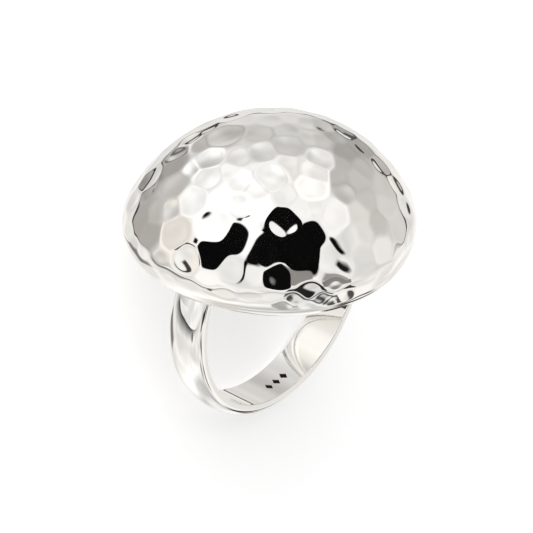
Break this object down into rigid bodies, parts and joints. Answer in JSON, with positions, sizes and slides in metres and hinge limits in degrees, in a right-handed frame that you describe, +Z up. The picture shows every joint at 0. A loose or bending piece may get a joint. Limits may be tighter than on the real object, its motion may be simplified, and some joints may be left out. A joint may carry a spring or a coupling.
{
  "type": "dome ring",
  "caption": "Finger ring with a large hollow hammered dome, a smooth rounded rim and a plain half-round band, all polished silver.",
  "frame": {"origin": "on the table, under the middle of the lying ring's box", "axes": "+Z up from the table; the ring lies on its side, its dome facing the front, -Y, and tipped up by 32 degrees, its band reaching back and down towards +Y; X runs across the ring, which is alike on both sides of X = 0"},
  "size_m": [0.024, 0.0246, 0.0212],
  "materials": {
    "silver": "polished silver, hammered on the dome and smooth on the rim and band"
  },
  "bodies": {
    "root": {"dome_ring": "silver"}
  },
  "joints": []
}
